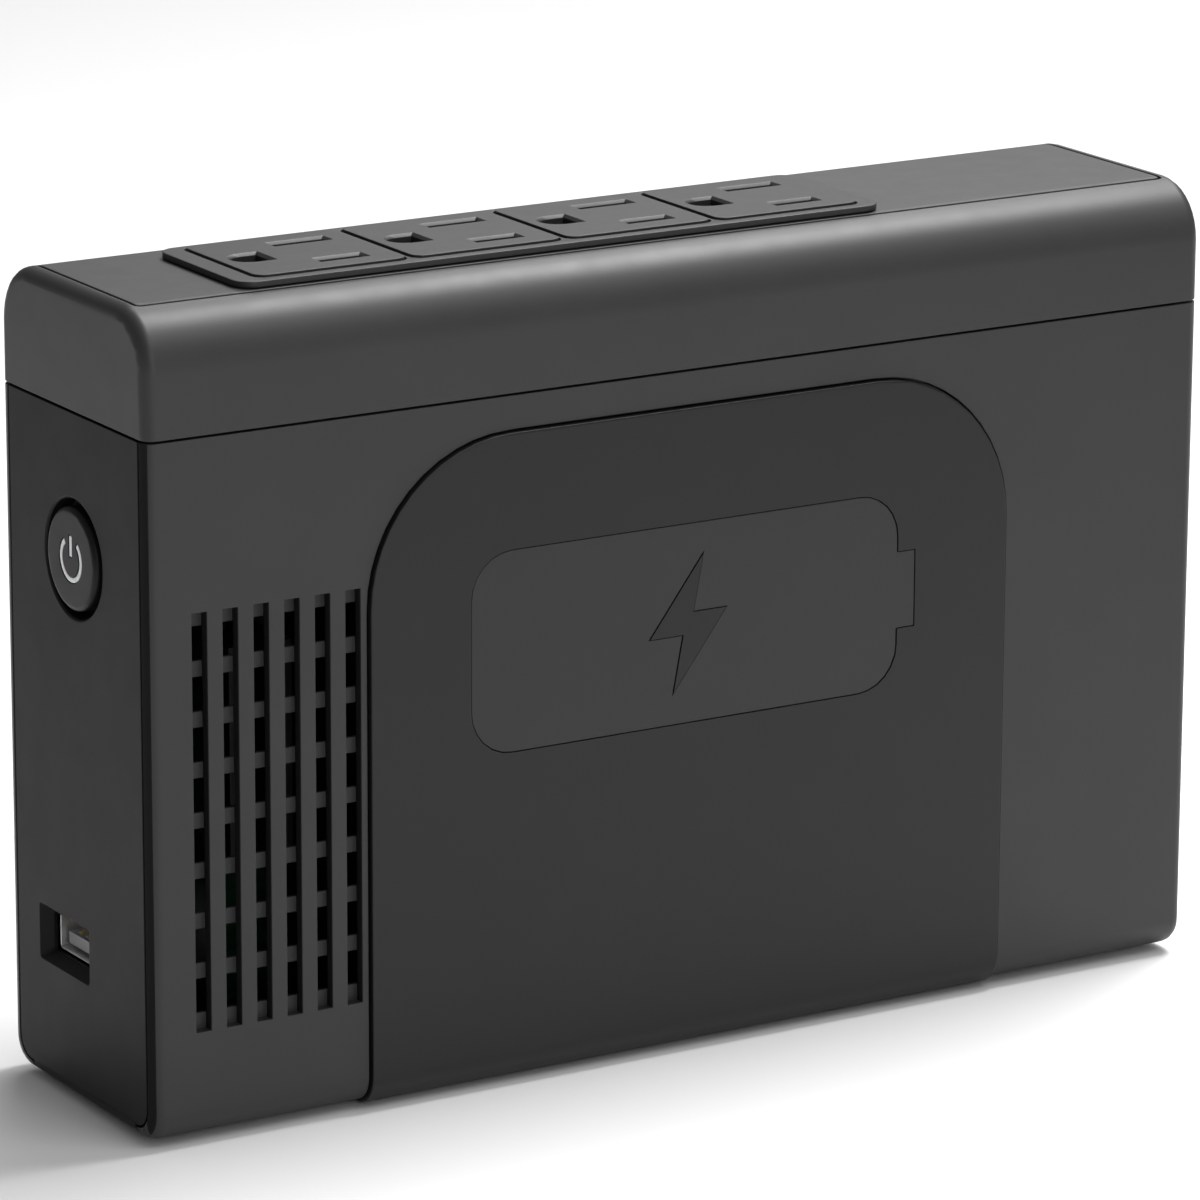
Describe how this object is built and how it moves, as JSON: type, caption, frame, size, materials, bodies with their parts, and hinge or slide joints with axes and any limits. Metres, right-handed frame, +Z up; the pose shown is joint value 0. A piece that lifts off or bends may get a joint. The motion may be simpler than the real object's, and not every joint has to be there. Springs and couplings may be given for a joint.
{
  "type": "slim uninterruptible power supply",
  "caption": "Slim box-shaped uninterruptible power supply with outlets on top, a power button and USB port on the end, front vents and a removable battery cover.",
  "frame": {"origin": "under the middle of the whole object, on the plane of the feet", "axes": "+X along the length towards the mains inlet, +Y from the front face to the rear, +Z up"},
  "size_m": [0.1872, 0.0468, 0.1268],
  "materials": {
    "case_plastic": "fine textured dark grey moulded plastic",
    "cover_plastic": "smooth satin near-black moulded plastic",
    "emblem_plastic": "satin dark grey inlay",
    "outlet_plastic": "satin dark grey moulded plastic",
    "inner_plastic": "black moulded plastic",
    "port_plastic": "light grey moulded plastic",
    "rubber": "black rubber",
    "brass": "bright stamped brass",
    "steel": "plated steel",
    "black_anodised": "black anodised extrusion",
    "circuit_board": "green solder mask",
    "light_guide": "translucent white plastic",
    "battery_case": "dark battery case",
    "copper_winding": "enamelled copper wire",
    "red_insulation": "red wire insulation",
    "black_insulation": "black sleeve",
    "relay_blue": "blue relay case"
  },
  "bodies": {
    "case": {"top_cap": "case_plastic", "top_panel": "case_plastic", "main_housing": "case_plastic", "left_end_plate": "case_plastic", "right_end_plate": "case_plastic", "outlet_frame": "outlet_plastic", "outlet_1": "outlet_plastic", "outlet_2": "outlet_plastic", "outlet_3": "outlet_plastic", "outlet_4": "outlet_plastic", "outlet_base": "inner_plastic", "battery_bay": "inner_plastic", "power_switch": "inner_plastic", "power_transistor_1": "inner_plastic", "power_transistor_2": "inner_plastic", "inlet_housing": "inner_plastic", "breaker_body": "inner_plastic", "usb_tongue": "port_plastic", "foot_left": "rubber", "foot_right": "rubber", "neutral_bar": "brass", "line_bar": "brass", "ground_bar": "brass", "battery_terminal_positive": "brass", "battery_terminal_negative": "brass", "inlet_pin_line": "brass", "inlet_pin_neutral": "brass", "inlet_pin_earth": "brass", "usb_shell": "steel", "transformer_core": "steel", "case_screw_1": "steel", "case_screw_2": "steel", "case_screw_3": "steel", "case_screw_4": "steel", "board_screw_1": "steel", "board_screw_2": "steel", "board_screw_3": "steel", "board_screw_4": "steel", "heat_sink": "black_anodised", "control_board": "circuit_board", "main_board": "circuit_board", "status_led": "light_guide", "battery_pack": "battery_case", "transformer_coil": "copper_winding", "battery_lead_positive": "red_insulation", "battery_lead_negative": "black_insulation", "capacitor_1": "black_insulation", "capacitor_2": "black_insulation", "capacitor_3": "black_insulation", "transfer_relay_1": "relay_blue", "transfer_relay_2": "relay_blue"},
    "power_button": {"power_button": "case_plastic", "button_light_guide": "light_guide", "switch_plunger": "inner_plastic"},
    "battery_cover": {"battery_cover": "cover_plastic", "cover_emblem": "emblem_plastic"},
    "breaker_button": {"breaker_button": "black_insulation"}
  },
  "joints": [
    {"name": "power_button_press", "type": "slide", "parent": "case", "child": "power_button", "axis": [1, 0, 0], "range_m": [0, 0.001], "stiffness_N_per_m": 800, "springref_m": -0.0004},
    {"name": "battery_cover_pull", "type": "slide", "parent": "case", "child": "battery_cover", "axis": [0, -1, 0], "range_m": [0, 0.012]},
    {"name": "breaker_trip", "type": "slide", "parent": "case", "child": "breaker_button", "axis": [1, 0, 0], "range_m": [0, 0.003]}
  ]
}
